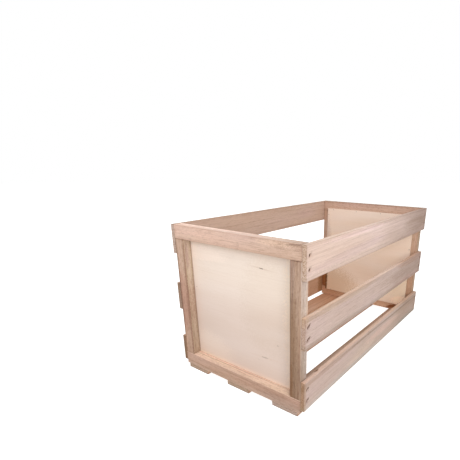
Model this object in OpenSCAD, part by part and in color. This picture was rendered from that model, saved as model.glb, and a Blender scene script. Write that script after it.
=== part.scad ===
// Slatted record crate: two framed plywood ends, three slats on each long side
// and three floor slats, all held with countersunk screws.
// Origin: middle of the footprint, on the ground. X runs along the crate, Z is up.

/* [Crate] */
// Length over the two end faces
crate_l = 638; // [560:1:720]
// Width of an end frame, which is also the clear width between the side slats
frame_w = 330; // [325:1:370]
// Height of an end frame, from its underside to the rim
frame_h = 333; // [325:1:370]

/* [End frames] */
// Thickness of the frame wood along the crate
frame_t = 21; // [19:0.5:26]
// Height of the top and bottom rails
rail_h = 30; // [28:0.5:40]
// Width of the two stiles between the rails
stile_w = 25; // [23:0.5:34]
// Depth of the shallow bevel on the inner top edge of a bottom rail, at the foot of the panel
bevel_depth = 6; // [3:0.1:9]
// Height of the same bevel, which stays above the pins
bevel_h = 1; // [0.5:0.1:3.3]

/* [End panels] */
// Thickness of the plywood
panel_t = 4; // [3:0.5:6]
// How far the plywood laps onto the inner face of the frame
panel_lap = 8; // [6:0.5:10]

/* [Slats] */
// Width of every slat
slat_w = 63.5; // [55:0.5:70]
// Thickness of every slat
slat_t = 9.5; // [8:0.5:12]
// Height of the lowest side slat above the underside of the end frame
slat_rise = 8; // [5:0.5:14]
// Distance of the outer floor slats from the sides of the end frame
floor_inset = 6; // [4:0.5:16]
// Size of the eased edges along every board
eased = 0.8; // [0.4:0.1:1.2]

/* [Screws] */
// Diameter of the shank
screw_d = 3.5; // [3:0.1:4]
// Length over the head
screw_l = 25; // [22:0.5:26]
// Diameter of the countersunk head
screw_head_d = 6.8; // [6:0.1:8]
// Depth of the head below the face of the slat
screw_sink = 2.6; // [0.4:0.1:3.2]
// Distance between the two screws in a slat's end
screw_pitch = 25; // [20:0.5:32]
// How much wider than the shank the hole in a slat is
screw_play = 0.5; // [0.2:0.1:1]
// Width of the cross cut in the head
cross_w = 1; // [0.8:0.1:1.2]
// Reach of the cross cut, from tip to tip
cross_l = 3.6; // [3:0.1:4.2]
// Depth of the cross cut
cross_depth = 1.2; // [0.8:0.1:1.4]

/* [Nails and pins] */
// Diameter of the nails that hold a rail on its stiles
nail_d = 1.8; // [1.4:0.1:2.2]
// Length of a nail
nail_l = 50; // [45:1:60]
// Diameter of a nail's head
nail_head_d = 2.8; // [2.6:0.1:3.4]
// Depth that the nail's head is set below the wood
nail_sink = 0.8; // [0.4:0.1:1.5]
// Distance between the two nails in a corner
nail_pitch = 11; // [10:0.5:12]
// Diameter of the pins that hold the plywood
pin_d = 1.2; // [1:0.1:1.4]
// Length of a pin
pin_l = 14; // [12:0.5:15]
// Diameter of a pin's head
pin_head_d = 2.6; // [2.2:0.1:3]
// Thickness of the heads of nails and pins
head_t = 0.6; // [0.4:0.1:0.8]
// Pins along each edge of a panel
pins_per_edge = 4; // [3:1:5]
// Distance of the end pins of a row from the panel's corners
pin_margin = 22; // [18:1:30]

/* [Hidden] */

// The underside of the end frames, which stand on the floor slats
frame_z = slat_t;
stile_h = frame_h - 2 * rail_h;
panel_w = frame_w - 2 * stile_w + 2 * panel_lap;
panel_h = stile_h + 2 * panel_lap;

// Undersides of the three side slats, the top one level with the rim
slat_bottom_z = frame_z + slat_rise;
slat_top_z = frame_z + frame_h - slat_w;
slat_middle_z = (slat_bottom_z + slat_top_z) / 2;
side_slat_zs = [slat_bottom_z, slat_middle_z, slat_top_z];

// Middle lines of the three floor slats
floor_side_y = frame_w / 2 - floor_inset - slat_w / 2;
floor_slat_ys = [-floor_side_y, 0, floor_side_y];

// Screws go into the middle of the frame wood's thickness
screw_x = frame_t / 2;
// A countersunk head of 90 degrees
screw_cone_h = (screw_head_d - screw_d) / 2;
screw_tip_l = 1.2 * screw_d;
screw_hole_d = screw_d + screw_play;

// Fixings stand in the middle of the stiles and of the lap of the plywood
nail_y = frame_w / 2 - stile_w / 2;
pin_y = panel_w / 2 - panel_lap / 2;
pin_z = panel_h / 2 - panel_lap / 2;
pin_tip_l = 1.5 * pin_d;
nail_tip_l = 1.5 * nail_d;

// Which end and which side of the crate, as a sign along X or Y
front = -1;
back = 1;
right = -1;
left = 1;
top = 1;
bottom = -1;

// Cutters pass this far beyond the face that they open
over = 1;

slat_colour = [0.86, 0.74, 0.67];
floor_colour = [0.78, 0.65, 0.56];
frame_colour = [0.74, 0.59, 0.50];
panel_colour = [0.93, 0.86, 0.80];
screw_colour = [0.28, 0.24, 0.22];
nail_colour = [0.62, 0.62, 0.64];

$fn = 32;

// A board's section, a by b from the origin, with its corners eased
module eased_section(a, b) {
    polygon([
        [eased, 0], [a - eased, 0], [a, eased], [a, b - eased],
        [a - eased, b], [eased, b], [0, b - eased], [0, eased]
    ]);
}

// Boards of size x, y, z from the origin, with the grain along X, Y or Z
module board_along_x(x, y, z) {
    rotate([90, 0, 90]) linear_extrude(x) eased_section(y, z);
}

module board_along_y(x, y, z) {
    translate([0, y, 0]) rotate([90, 0, 0]) linear_extrude(y) eased_section(x, z);
}

module board_along_z(x, y, z) {
    linear_extrude(z) eased_section(x, y);
}

// Children are drawn for the front end, with X running inwards from the end face,
// and are mirrored for the back end
module at_end(end) {
    mirror([end == back ? 1 : 0, 0, 0]) translate([-crate_l / 2, 0, 0]) children();
}

// A screw that points down from a slat's face at Z = 0
module screw() {
    head_z = -screw_sink;
    difference() {
        union() {
            translate([0, 0, head_z - screw_cone_h])
                cylinder(h = screw_cone_h, d1 = screw_d, d2 = screw_head_d);
            translate([0, 0, head_z - screw_l + screw_tip_l])
                cylinder(h = screw_l - screw_tip_l - screw_cone_h, d = screw_d);
            translate([0, 0, head_z - screw_l])
                cylinder(h = screw_tip_l, d1 = screw_d / 4, d2 = screw_d);
        }
        for (turn = [0, 90])
            rotate([0, 0, turn]) translate([-cross_l / 2, -cross_w / 2, head_z - cross_depth])
                cube([cross_l, cross_w, cross_depth + over]);
    }
}

// The countersunk hole for a screw in a slat, open to the face at Z = 0
module screw_seat() {
    translate([0, 0, -slat_t - over]) cylinder(h = slat_t + 2 * over, d = screw_hole_d);
    translate([0, 0, -screw_sink - screw_cone_h])
        cylinder(h = screw_cone_h, d1 = screw_d, d2 = screw_head_d);
    translate([0, 0, -screw_sink]) cylinder(h = screw_sink + over, d = screw_head_d);
}

// The hole that a screw makes in the frame wood, to the full depth of its tip
module screw_pilot() {
    translate([0, 0, -screw_sink - screw_l]) cylinder(h = screw_l, d = screw_d);
}

// Children at the two screws of each end of one side slat, pointing into the crate
module at_slat_screws(side, slat_z) {
    for (end = [front, back], step = [-1, 1])
        translate([
            end * (crate_l / 2 - screw_x),
            side * (frame_w / 2 + slat_t),
            slat_z + slat_w / 2 + step * screw_pitch / 2
        ])
            rotate([side * -90, 0, 0]) children();
}

// Children at the two screws of each end of one floor slat, pointing up
module at_floor_screws(slat_y) {
    for (end = [front, back], step = [-1, 1])
        translate([end * (crate_l / 2 - screw_x), slat_y + step * screw_pitch / 2, 0])
            rotate([180, 0, 0]) children();
}

// Every hole that the slats' screws make in the frame wood
module frame_screw_holes() {
    for (side = [right, left], slat_z = side_slat_zs)
        at_slat_screws(side, slat_z) screw_pilot();
    for (slat_y = floor_slat_ys)
        at_floor_screws(slat_y) screw_pilot();
}

// A nail or pin that points down, with the top of its head at Z = 0
module headed_nail(d, l, head_d, tip_l) {
    translate([0, 0, -head_t]) cylinder(h = head_t, d = head_d);
    translate([0, 0, -l + tip_l]) cylinder(h = l - tip_l - head_t, d = d);
    translate([0, 0, -l]) cylinder(h = tip_l, d1 = d / 4, d2 = d);
}

// The hole of a nail or pin whose head is set this deep below the wood
module nail_hole(d, l, head_d, sink) {
    translate([0, 0, -l]) cylinder(h = l, d = d);
    translate([0, 0, -head_t]) cylinder(h = head_t + sink + over, d = head_d);
}

// Children at the two nails of each corner of an end frame, pointing into the stile
module at_frame_nails() {
    for (side = [right, left], edge = [bottom, top], step = [-1, 1])
        translate([
            frame_t / 2 + step * nail_pitch / 2,
            side * nail_y,
            frame_z + frame_h / 2 + edge * (frame_h / 2 - nail_sink)
        ])
            rotate([edge == top ? 0 : 180, 0, 0]) children();
}

// Places of a row of pins, spread evenly between its two end pins
function pin_row(reach) =
    [for (i = [0 : pins_per_edge - 1]) reach * (2 * i / (pins_per_edge - 1) - 1)];

// Children at the pins round a panel, pointing out of the crate through the plywood
module at_panel_pins() {
    translate([frame_t + panel_t, 0, frame_z + frame_h / 2]) {
        for (edge = [-1, 1], y = pin_row(panel_w / 2 - pin_margin))
            translate([0, y, edge * pin_z]) rotate([0, 90, 0]) children();
        for (edge = [-1, 1], z = pin_row(panel_h / 2 - pin_margin))
            translate([0, edge * pin_y, z]) rotate([0, 90, 0]) children();
    }
}

module pin_holes() {
    at_panel_pins() nail_hole(pin_d, pin_l, pin_head_d, 0);
}

// What the fixings take out of the frame wood at one end
module frame_fixing_holes(end) {
    frame_screw_holes();
    at_end(end) {
        at_frame_nails() nail_hole(nail_d, nail_l, nail_head_d, nail_sink);
        pin_holes();
    }
}

// The bevel of a bottom rail, from stile to stile
module ledge_bevel() {
    length = frame_w - 2 * stile_w;
    translate([frame_t, length / 2, frame_z + rail_h]) rotate([90, 0, 0]) linear_extrude(length)
        polygon([[0, -bevel_h], [over, -bevel_h], [over, over], [-bevel_depth, over], [-bevel_depth, 0]]);
}

module rail(end, edge) {
    z = edge == top ? frame_z + frame_h - rail_h : frame_z;
    color(frame_colour) difference() {
        at_end(end) translate([0, -frame_w / 2, z]) board_along_y(frame_t, frame_w, rail_h);
        frame_fixing_holes(end);
        if (edge == bottom) at_end(end) ledge_bevel();
    }
}

module stile(end, side) {
    y = side == left ? frame_w / 2 - stile_w : -frame_w / 2;
    color(frame_colour) difference() {
        at_end(end) translate([0, y, frame_z + rail_h]) board_along_z(frame_t, stile_w, stile_h);
        frame_fixing_holes(end);
    }
}

module panel(end) {
    color(panel_colour) at_end(end) difference() {
        translate([frame_t, -panel_w / 2, frame_z + (frame_h - panel_h) / 2])
            cube([panel_t, panel_w, panel_h]);
        pin_holes();
    }
}

module frame_nails(end) {
    color(nail_colour) at_end(end) at_frame_nails()
        headed_nail(nail_d, nail_l, nail_head_d, nail_tip_l);
}

module panel_pins(end) {
    color(nail_colour) at_end(end) at_panel_pins()
        headed_nail(pin_d, pin_l, pin_head_d, pin_tip_l);
}

module side_slat(side, slat_z) {
    y = side == left ? frame_w / 2 : -frame_w / 2 - slat_t;
    color(slat_colour) difference() {
        translate([-crate_l / 2, y, slat_z]) board_along_x(crate_l, slat_t, slat_w);
        at_slat_screws(side, slat_z) screw_seat();
    }
}

module floor_slat(slat_y) {
    color(floor_colour) difference() {
        translate([-crate_l / 2, slat_y - slat_w / 2, 0]) board_along_x(crate_l, slat_w, slat_t);
        at_floor_screws(slat_y) screw_seat();
    }
}

module side_screws(side) {
    color(screw_colour) for (slat_z = side_slat_zs) at_slat_screws(side, slat_z) screw();
}

module floor_screws() {
    color(screw_colour) for (slat_y = floor_slat_ys) at_floor_screws(slat_y) screw();
}

rail(front, top);  // front_top_rail
rail(front, bottom);  // front_bottom_rail
stile(front, right);  // front_right_stile
stile(front, left);  // front_left_stile
panel(front);  // front_panel
frame_nails(front);  // front_frame_nails
panel_pins(front);  // front_panel_pins
rail(back, top);  // back_top_rail
rail(back, bottom);  // back_bottom_rail
stile(back, right);  // back_right_stile
stile(back, left);  // back_left_stile
panel(back);  // back_panel
frame_nails(back);  // back_frame_nails
panel_pins(back);  // back_panel_pins
side_slat(right, slat_top_z);  // right_top_slat
side_slat(right, slat_middle_z);  // right_middle_slat
side_slat(right, slat_bottom_z);  // right_bottom_slat
side_slat(left, slat_top_z);  // left_top_slat
side_slat(left, slat_middle_z);  // left_middle_slat
side_slat(left, slat_bottom_z);  // left_bottom_slat
floor_slat(-floor_side_y);  // right_floor_slat
floor_slat(0);  // middle_floor_slat
floor_slat(floor_side_y);  // left_floor_slat
side_screws(right);  // right_side_screws
side_screws(left);  // left_side_screws
floor_screws();
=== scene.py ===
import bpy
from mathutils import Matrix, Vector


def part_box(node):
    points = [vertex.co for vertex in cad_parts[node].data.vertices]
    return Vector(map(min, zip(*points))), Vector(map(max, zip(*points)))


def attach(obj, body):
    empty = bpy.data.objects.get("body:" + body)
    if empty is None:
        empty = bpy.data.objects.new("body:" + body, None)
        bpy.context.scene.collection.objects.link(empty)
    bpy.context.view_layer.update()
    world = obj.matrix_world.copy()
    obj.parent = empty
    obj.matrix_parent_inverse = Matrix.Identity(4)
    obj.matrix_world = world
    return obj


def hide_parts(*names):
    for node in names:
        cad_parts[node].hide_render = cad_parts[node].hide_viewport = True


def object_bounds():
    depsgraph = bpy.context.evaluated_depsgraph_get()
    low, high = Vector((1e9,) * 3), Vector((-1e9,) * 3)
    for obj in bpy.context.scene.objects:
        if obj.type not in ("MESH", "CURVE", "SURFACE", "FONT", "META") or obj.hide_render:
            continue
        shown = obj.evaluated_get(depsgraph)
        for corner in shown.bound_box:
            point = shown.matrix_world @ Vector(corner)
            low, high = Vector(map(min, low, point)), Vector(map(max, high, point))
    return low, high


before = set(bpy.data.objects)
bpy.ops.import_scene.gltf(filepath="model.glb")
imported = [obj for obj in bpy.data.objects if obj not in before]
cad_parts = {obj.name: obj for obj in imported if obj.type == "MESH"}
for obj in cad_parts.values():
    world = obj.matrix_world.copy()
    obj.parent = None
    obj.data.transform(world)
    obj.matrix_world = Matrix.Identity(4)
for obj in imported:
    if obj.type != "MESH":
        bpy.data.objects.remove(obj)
cadBounds = [list(corner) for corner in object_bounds()]

import math
import random
import bpy
import bmesh
from mathutils import Euler, Matrix, Vector

# Slatted record crate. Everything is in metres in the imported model's frame:
# X runs along the crate, the near end is at -X, the right side at -Y, Z is up.

mm = 0.001
touch = 0.01 * mm  # a point this near to a plane lies on it
crateLow, crateHigh = Vector(cadBounds[0]), Vector(cadBounds[1])
nearFace, farFace, rightFace, rim = crateLow.x, crateHigh.x, crateLow.y, crateHigh.z


def say(stage):
    print("record crate:", stage)


# Small helpers for modelling

def startClean():
    if bpy.context.object and bpy.context.object.mode != "OBJECT":
        bpy.ops.object.mode_set(mode="OBJECT")
    bpy.ops.object.select_all(action="DESELECT")


def makeActive(piece):
    startClean()
    piece.select_set(True)
    bpy.context.view_layer.objects.active = piece


def openInEdit(piece, selectMode):
    makeActive(piece)
    bpy.ops.object.mode_set(mode="EDIT")
    bpy.ops.mesh.select_mode(type=selectMode)


def pick(piece, kind, test):
    # kind is "edges" or "faces"; test gets the corner points of each one
    mesh = bmesh.from_edit_mesh(piece.data)
    bpy.ops.mesh.select_all(action="DESELECT")
    for item in getattr(mesh, kind):
        if test([corner.co for corner in item.verts]):
            item.select_set(True)
    bmesh.update_edit_mesh(piece.data)


def applyPlace():
    bpy.ops.object.transform_apply(location=True, rotation=True, scale=True)


def applyModifier(piece, kind, **settings):
    makeActive(piece)
    modifier = piece.modifiers.new(kind.lower(), kind)
    for key, value in settings.items():
        setattr(modifier, key, value)
    bpy.ops.object.modifier_apply(modifier=modifier.name)


def joinPieces(pieces, name):
    startClean()
    for piece in pieces:
        piece.select_set(True)
    bpy.context.view_layer.objects.active = pieces[0]
    bpy.ops.object.join()
    joined = bpy.context.object
    joined.name = joined.data.name = name
    return joined


def placeCopy(pattern, place):
    copy = pattern.copy()
    copy.data = pattern.data.copy()
    bpy.context.scene.collection.objects.link(copy)
    copy.matrix_world = place
    makeActive(copy)
    applyPlace()
    return copy


def discard(piece):
    mesh = piece.data
    bpy.data.objects.remove(piece)
    bpy.data.meshes.remove(mesh)


def addBlock(name, middle, size):
    startClean()
    bpy.ops.mesh.primitive_cube_add(size=1, location=middle)
    block = bpy.context.object
    block.name = block.data.name = name
    block.scale = size
    applyPlace()
    return block


def turnedPiece(name, rings, sides):
    # a round piece from rings of (z, radius), from the top down, by extruding its cap
    startClean()
    z, radius = rings[0]
    bpy.ops.mesh.primitive_circle_add(vertices=sides, radius=radius, fill_type="NGON", location=(0, 0, z))
    piece = bpy.context.object
    piece.name = piece.data.name = name
    applyPlace()
    openInEdit(piece, "FACE")
    bpy.ops.mesh.select_all(action="SELECT")
    for (fromZ, fromRadius), (toZ, toRadius) in zip(rings, rings[1:]):
        bpy.ops.mesh.extrude_region_move(TRANSFORM_OT_translate={"value": (0, 0, toZ - fromZ)})
        grow = toRadius / fromRadius
        bpy.ops.transform.resize(value=(grow, grow, 1), center_override=(0, 0, toZ))
    bpy.ops.mesh.select_all(action="SELECT")
    bpy.ops.mesh.normals_make_consistent(inside=False)
    bpy.ops.object.mode_set(mode="OBJECT")
    return piece


# Small helpers for shader nodes

def srgb(red, green, blue):
    def linear(value):
        return value / 12.92 if value <= 0.04045 else ((value + 0.055) / 1.055) ** 2.4
    return (linear(red), linear(green), linear(blue), 1)


def lighten(colour, times):
    return (*(part * times for part in colour[:3]), 1)


def addNode(tree, kind, inputs=None, **settings):
    node = tree.nodes.new(kind)
    for key, value in settings.items():
        setattr(node, key, value)
    for key, value in (inputs or {}).items():
        if isinstance(value, bpy.types.NodeSocket):
            tree.links.new(value, node.inputs[key])
        else:
            node.inputs[key].default_value = value
    return node


def calc(tree, operation, *values, clamp=False):
    inputs = dict(enumerate(values))
    return addNode(tree, "ShaderNodeMath", inputs, operation=operation, use_clamp=clamp).outputs[0]


def product(tree, first, second):
    return calc(tree, "MULTIPLY", first, second)


def weigh(tree, *parts):
    # the sum of some values, each times its weight
    total, *others = [product(tree, value, weight) for value, weight in parts]
    for other in others:
        total = calc(tree, "ADD", total, other)
    return total


def vectorCalc(tree, operation, *values):
    inputs = dict(enumerate(values))
    return addNode(tree, "ShaderNodeVectorMath", inputs, operation=operation).outputs[0]


def measure(tree, operation, *values):
    # the length of a vector, or the dot product of two
    inputs = dict(enumerate(values))
    return addNode(tree, "ShaderNodeVectorMath", inputs, operation=operation).outputs["Value"]


def split(tree, vector):
    return addNode(tree, "ShaderNodeSeparateXYZ", {0: vector}).outputs


def blendColours(tree, amount, first, second):
    inputs = {"Factor": amount, 6: first, 7: second}
    return addNode(tree, "ShaderNodeMix", inputs, data_type="RGBA").outputs[2]


def tint(tree, amount, colour, shade):
    # multiplies the colour by the shade where amount is 1
    inputs = {"Factor": amount, 6: colour, 7: (*shade, 1)}
    return addNode(tree, "ShaderNodeMix", inputs, data_type="RGBA", blend_type="MULTIPLY").outputs[2]


def rampUp(tree, value, low, high, toLow=0.0, toHigh=1.0):
    inputs = {"Value": value, "From Min": low, "From Max": high, "To Min": toLow, "To Max": toHigh}
    return addNode(tree, "ShaderNodeMapRange", inputs, interpolation_type="SMOOTHSTEP").outputs[0]


def spread(tree, noise, low, high):
    # nearly all of a noise lies between 0.3 and 0.7, which becomes low to high
    return rampUp(tree, noise, 0.3, 0.7, low, high)


def stretchedNoise(tree, vector, stretch, seed, detail=2.0, roughness=0.5):
    # stretch is how many waves there are in a metre along the grain and across it
    place = vectorCalc(tree, "MULTIPLY", vector, (stretch[0], stretch[1], stretch[1]))
    inputs = {"Vector": place, "W": seed, "Scale": 1.0, "Detail": detail, "Roughness": roughness}
    return addNode(tree, "ShaderNodeTexNoise", inputs, noise_dimensions="4D").outputs[0]


def newGroup(name, inputs):
    # every group reads a place; a tuple makes a vector socket and a number a value socket
    group = bpy.data.node_groups.new(name, "ShaderNodeTree")
    for title, value in {"Vector": (0, 0, 0), **inputs}.items():
        kind = "NodeSocketVector" if isinstance(value, tuple) else "NodeSocketFloat"
        group.interface.new_socket(name=title, in_out="INPUT", socket_type=kind).default_value = value
    return group, group.nodes.new("NodeGroupInput").outputs


def closeGroup(group, results):
    for title in results:
        group.interface.new_socket(name=title, in_out="OUTPUT", socket_type="NodeSocketFloat")
    sink = group.nodes.new("NodeGroupOutput")
    for title, value in results.items():
        group.links.new(value, sink.inputs[title])
    return group


def useGroup(tree, group, inputs):
    return addNode(tree, "ShaderNodeGroup", inputs, node_tree=group).outputs


def fromCentre(tree, given):
    # how far a point is from the centre in X, Y and Z, whichever way
    return vectorCalc(tree, "ABSOLUTE", vectorCalc(tree, "SUBTRACT", given["Vector"], given["Centre"]))


# Effects that several finishes share

ringShape = {
    "sways": [((2.2, 9.0), 1.0, 2.0), ((16.0, 90.0), 3.0, 0.7)],  # waves, detail, share of the wobble
    "thinning": -13.0,  # how fast the pores that open a ring thin out
    "closing": (0.90, 0.99),  # where in the ring its hard line starts and is full
    "closingStrength": 0.8,
    "breakWaves": (14.0, 60.0),
    "breaks": (0.36, 0.58, 0.15, 1.0),
}


def makeGrowthRings():
    tree, given = newGroup("growth rings", {"Ring Width": 0.007, "Wobble": 0.004, "Seed": 0.0})
    _, y, z = split(tree, given["Vector"])
    radius = calc(tree, "SQRT", calc(tree, "ADD", product(tree, y, y), product(tree, z, z)))
    sways = []
    for waves, detail, share in ringShape["sways"]:
        noise = stretchedNoise(tree, given["Vector"], waves, given["Seed"], detail)
        sways.append(product(tree, calc(tree, "SUBTRACT", noise, 0.5), product(tree, given["Wobble"], share)))
    bent = calc(tree, "ADD", radius, calc(tree, "ADD", *sways))
    phase = calc(tree, "DIVIDE", bent, given["Ring Width"])
    share = calc(tree, "FRACT", phase)
    number = calc(tree, "ADD", calc(tree, "FLOOR", phase), given["Seed"])
    # dense pores open each ring and thin out, and a thin hard line closes it
    opening = calc(tree, "EXPONENT", product(tree, share, ringShape["thinning"]))
    closing = product(tree, rampUp(tree, share, *ringShape["closing"]), ringShape["closingStrength"])
    broken = stretchedNoise(tree, given["Vector"], ringShape["breakWaves"], number, detail=3.0)
    broken = rampUp(tree, broken, *ringShape["breaks"])
    ringTone = addNode(tree, "ShaderNodeTexWhiteNoise", {"W": number}, noise_dimensions="1D").outputs["Value"]
    line = product(tree, calc(tree, "MAXIMUM", opening, closing), broken)
    return closeGroup(tree, {"Line": line, "Body": share, "Ring Tone": ringTone})


fibreNoises = {  # waves in a metre along the grain and across it, detail, roughness
    "Drift": ((3.0, 16.0), 2.0, 0.5),
    "Streak": ((5.0, 210.0), 4.0, 0.6),
    "Fibre": ((28.0, 950.0), 3.0, 0.6),
    "Dash": ((110.0, 430.0), 2.0, 0.5),
    "Pores": ((95.0, 1500.0), 1.0, 0.5),
    "Speckle": ((640.0, 640.0), 3.0, 0.6),
}
poreSpan = (0.58, 0.70)  # where its noise becomes a pore


def makeFibres():
    tree, given = newGroup("wood fibres", {"Seed": 0.0})
    noises = {title: stretchedNoise(tree, given["Vector"], waves, given["Seed"], detail, roughness)
              for title, (waves, detail, roughness) in fibreNoises.items()}
    noises["Pores"] = rampUp(tree, noises["Pores"], *poreSpan)
    return closeGroup(tree, noises)


edgeBands = {  # from which depth each band grows, and at which it is full
    "Arris": (2.4 * mm, 0.5 * mm),
    "Border": (11 * mm, 1 * mm),
    "End": (1.0 * mm, 0.5 * mm),
    "Near End": (30 * mm, 0.0),
    "Narrow": (1.6 * mm, 0.9 * mm),
}


def makeBoardEdges():
    # how near a point is to an edge and to an end of its board, and which long faces are the narrow ones
    tree, given = newGroup("board edges", {"Centre": (0, 0, 0), "Half Size": (1, 1, 1), "Grain": (1, 0, 0),
                                           "Narrow Side": (0, 0, 1), "Reach": 0.003})
    depth = vectorCalc(tree, "SUBTRACT", given["Half Size"], fromCentre(tree, given))
    a, b, c = split(tree, depth)
    largest = calc(tree, "MAXIMUM", a, b)
    second = calc(tree, "MAXIMUM", calc(tree, "MINIMUM", a, b), calc(tree, "MINIMUM", largest, c))
    ending = measure(tree, "DOT_PRODUCT", depth, given["Grain"])
    depths = {"Arris": second, "Border": second, "End": ending, "Near End": ending,
              "Narrow": measure(tree, "DOT_PRODUCT", depth, given["Narrow Side"])}
    bands = {title: rampUp(tree, depths[title], *band) for title, band in edgeBands.items()}
    return closeGroup(tree, {"Edge": rampUp(tree, second, given["Reach"], 0.0), **bands})


def makeBruises():
    # pressed and dirtied wood round the four screws of a slat, two at each end
    tree, given = newGroup("screw bruises", {"Centre": (0, 0, 0), "Screw Place": (1, 1, 1), "Reach": 0.005})
    away = vectorCalc(tree, "SUBTRACT", fromCentre(tree, given), given["Screw Place"])
    full = 3.2 * mm  # from the middle of a screw
    return closeGroup(tree, {"Bruise": rampUp(tree, measure(tree, "LENGTH", away), given["Reach"], full)})


def makeSeamShade():
    # a thin line of painted shade on a panel, round the opening of the frame that it closes
    tree, given = newGroup("panel seam", {"Centre": (0, 0, 0), "Half Opening": (1, 1, 1), "Reach": 0.001})
    _, y, z = split(tree, vectorCalc(tree, "SUBTRACT", fromCentre(tree, given), given["Half Opening"]))
    gap = calc(tree, "ABSOLUTE", calc(tree, "MAXIMUM", y, z))
    return closeGroup(tree, {"Seam": rampUp(tree, gap, given["Reach"], 0.0)})


knotShape = {
    "fall": -0.7,  # how fast the swing of the grain dies away
    "ragWaves": (420.0, 420.0),
    "rag": 0.25,
    "core": (0.75, 0.25),  # shares of the size between which the core darkens
}


def makeKnot():
    # the grain swings round a knot, whose core is darker
    tree, given = newGroup("knot", {"Centre": (0, 0, 0), "Stretch": (1, 1, 1), "Size": 0.006, "Pull": 0.004})
    away = vectorCalc(tree, "SUBTRACT", given["Vector"], given["Centre"])
    gap = measure(tree, "LENGTH", vectorCalc(tree, "DIVIDE", away, given["Stretch"]))
    share = calc(tree, "DIVIDE", gap, given["Size"])
    near = calc(tree, "EXPONENT", product(tree, product(tree, share, share), knotShape["fall"]))
    rough = stretchedNoise(tree, given["Vector"], knotShape["ragWaves"], 2.0)
    ragged = calc(tree, "ADD", share, spread(tree, rough, -knotShape["rag"], knotShape["rag"]))
    return closeGroup(tree, {"Swing": product(tree, near, given["Pull"]),
                             "Core": rampUp(tree, ragged, *knotShape["core"])})


fleckShape = {
    "ragWaves": (300.0, 300.0),
    "rag": 0.3,
    "edge": (1.3, 0.3),  # squared shares of the size between which the mark darkens
    "trailAcross": -0.6,
    "trailAlong": -0.06,
}


def makeFleck():
    # a dark mark along the grain, with a faint line running on from both of its ends
    tree, given = newGroup("dark fleck", {"Centre": (0, 0, 0), "Along": (0, 1, 0), "Across": (0, 0, 1),
                                          "Length": 0.005, "Width": 0.001})
    away = vectorCalc(tree, "SUBTRACT", given["Vector"], given["Centre"])
    squares = []
    for side, size in (("Across", "Width"), ("Along", "Length")):
        share = calc(tree, "DIVIDE", measure(tree, "DOT_PRODUCT", away, given[side]), given[size])
        squares.append(product(tree, share, share))
    rough = stretchedNoise(tree, given["Vector"], fleckShape["ragWaves"], 3.0)
    rag = spread(tree, rough, -fleckShape["rag"], fleckShape["rag"])
    near = calc(tree, "ADD", calc(tree, "ADD", *squares), rag)
    far = weigh(tree, (squares[0], fleckShape["trailAcross"]), (squares[1], fleckShape["trailAlong"]))
    return closeGroup(tree, {"Fleck": rampUp(tree, near, *fleckShape["edge"]),
                             "Trail": calc(tree, "EXPONENT", far)})


growthRings = makeGrowthRings()
woodFibres = makeFibres()
boardEdges = makeBoardEdges()
screwBruises = makeBruises()
panelSeamShade = makeSeamShade()
grainKnot = makeKnot()
darkFleck = makeFleck()
say("shared effects made")


# Finishes

turnToGrain = {
    "X": Matrix.Identity(3),
    "Y": Matrix.Rotation(math.radians(-90), 3, "Z"),
    "Z": Matrix.Rotation(math.radians(90), 3, "Y"),
}
axes = {"X": (1, 0, 0), "Y": (0, 1, 0), "Z": (0, 0, 1)}
poreShade = (0.30, 0.22, 0.17)
woodFinish = {
    "clear": 1.07,  # the clear wood, times a board's tone
    "worn": 1.16,  # wood rubbed pale at the edges, times a board's tone
    "knotStretch": 2.6,  # a knot's length along the grain, for its width
    "drift": 0.25,  # how far a tone's change wanders, as a share of half the board
    "lineGloss": -0.06,  # what a ring's hard line adds to the roughness
    "shine": 0.35,
    "heights": {"fibre": 0.5, "streak": 0.5, "pore": -0.6, "line": -0.25, "end": 0.8},
    "relief": 0.5 * mm,  # for a height of 1
}
strengths = {  # where an effect's noise or ring starts and is full, and its least share of the full strength
    "warmth": (0.36, 0.64, 0.0),
    "coolness": (0.50, 0.32, 0.0),
    "streaks": (0.46, 0.72, 0.0),
    "lines": (0.0, 1.0, 0.3),
    "fibres": (0.42, 0.72, 0.0),
    "mottle": (0.42, 0.66, 0.0),
    "dashes": (0.50, 0.68, 0.0),
    "pores": (0.0, 0.6, 0.25),
    "endDots": (0.43, 0.58, 0.0),
    "border": (0.3, 0.6, 0.5),
    "edgeWear": (0.35, 0.60, 0.0),
    "arris": (0.36, 0.60, 0.1),
}


def mark(place, across, length, width, shade=poreShade, dark=1.0):
    # one soft patch or line along the grain, which reaches its length and its width to each side
    form = {"Centre": place, "Across": axes.get(across, across), "Length": length, "Width": width}
    return form, shade, dark


def addMarks(tree, point, colour, grain, marks, face=1.0):
    # face is 1 where the marks may show
    for form, shade, dark in marks:
        found = useGroup(tree, darkFleck, {"Vector": point, "Along": axes[grain], **form})["Fleck"]
        colour = tint(tree, product(tree, product(tree, found, dark), face), colour, shade)
    return colour


def addTints(tree, colour, look, layers):
    for amount, shade in layers:
        colour = tint(tree, amount, colour, look[shade])
    return colour


def startMaterial(name):
    material = bpy.data.materials.new(name)
    material.use_nodes = True
    tree = material.node_tree
    point = addNode(tree, "ShaderNodeTexCoord").outputs["Object"]
    return material, tree, tree.nodes["Principled BSDF"], point


def finishSurface(tree, shader, colour, roughness, relief, strength, height):
    bump = addNode(tree, "ShaderNodeBump", {"Height": relief, "Strength": strength, "Distance": height})
    for title, value in {"Base Color": colour, "Roughness": roughness, "Normal": bump.outputs[0]}.items():
        tree.links.new(value, shader.inputs[title])


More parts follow.
